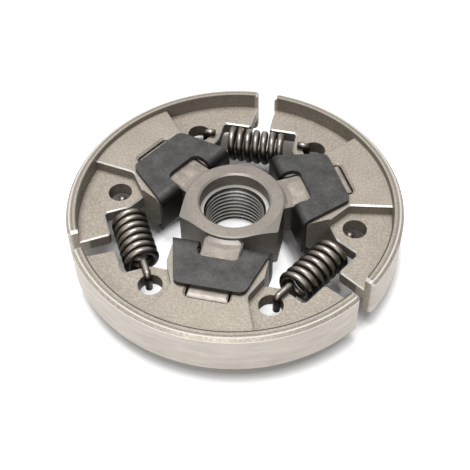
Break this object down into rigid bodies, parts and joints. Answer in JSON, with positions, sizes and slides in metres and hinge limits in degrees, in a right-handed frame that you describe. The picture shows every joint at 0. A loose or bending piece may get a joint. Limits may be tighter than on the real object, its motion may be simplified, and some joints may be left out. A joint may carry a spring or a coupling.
{
  "type": "centrifugal clutch",
  "caption": "Centrifugal clutch: sintered shoes slide outwards on the arms of a threaded carrier, kept by folded sheet retainers and drawn in by coil springs.",
  "frame": {"origin": "on the axis of the bore, in the plane of the hub's rear face", "axes": "+Z along the bore from the rear face to the wrench hexagon, -Y outwards along the middle of shoe_1"},
  "size_m": [0.064, 0.0639, 0.0126],
  "materials": {
    "carrier_steel": "matt, as sintered and turned",
    "sintered_iron": "matt, as sintered",
    "black_sheet": "black oxide, satin",
    "spring_wire": "dark drawn wire, glossy"
  },
  "bodies": {
    "carrier_body": {"carrier": "carrier_steel"},
    "shoe_body_1": {"shoe_1": "sintered_iron", "retainer_1": "black_sheet"},
    "shoe_body_2": {"shoe_2": "sintered_iron", "retainer_2": "black_sheet"},
    "shoe_body_3": {"shoe_3": "sintered_iron", "retainer_3": "black_sheet"},
    "spring_body_1": {"spring_1": "spring_wire"},
    "spring_body_2": {"spring_2": "spring_wire"},
    "spring_body_3": {"spring_3": "spring_wire"}
  },
  "joints": [
    {"name": "shoe_1_slide", "type": "slide", "parent": "carrier_body", "child": "shoe_body_1", "axis": [0, -1, 0], "range_m": [0, 0.0012], "stiffness_N_per_m": 5000, "springref_m": -0.002},
    {"name": "shoe_2_slide", "type": "slide", "parent": "carrier_body", "child": "shoe_body_2", "axis": [0.866, 0.5, 0], "range_m": [0, 0.0012], "stiffness_N_per_m": 5000, "springref_m": -0.002},
    {"name": "shoe_3_slide", "type": "slide", "parent": "carrier_body", "child": "shoe_body_3", "axis": [-0.866, 0.5, 0], "range_m": [0, 0.0012], "stiffness_N_per_m": 5000, "springref_m": -0.002},
    {"name": "spring_1_stretch", "type": "slide", "parent": "shoe_body_1", "child": "spring_body_1", "axis": [0.5, 0.866, 0], "range_m": [0, 0.0021], "deforming": ["spring_1"]},
    {"name": "spring_2_stretch", "type": "slide", "parent": "shoe_body_2", "child": "spring_body_2", "axis": [-1, 0, 0], "range_m": [0, 0.0021], "deforming": ["spring_2"]},
    {"name": "spring_3_stretch", "type": "slide", "parent": "shoe_body_3", "child": "spring_body_3", "axis": [0.5, -0.866, 0], "range_m": [0, 0.0021], "deforming": ["spring_3"]}
  ],
  "couplings": [
    {"joint": "shoe_2_slide", "follows": "shoe_1_slide", "ratio": 1},
    {"joint": "shoe_3_slide", "follows": "shoe_1_slide", "ratio": 1},
    {"joint": "spring_1_stretch", "follows": "shoe_1_slide", "ratio": 1.7321},
    {"joint": "spring_2_stretch", "follows": "shoe_1_slide", "ratio": 1.7321},
    {"joint": "spring_3_stretch", "follows": "shoe_1_slide", "ratio": 1.7321}
  ]
}
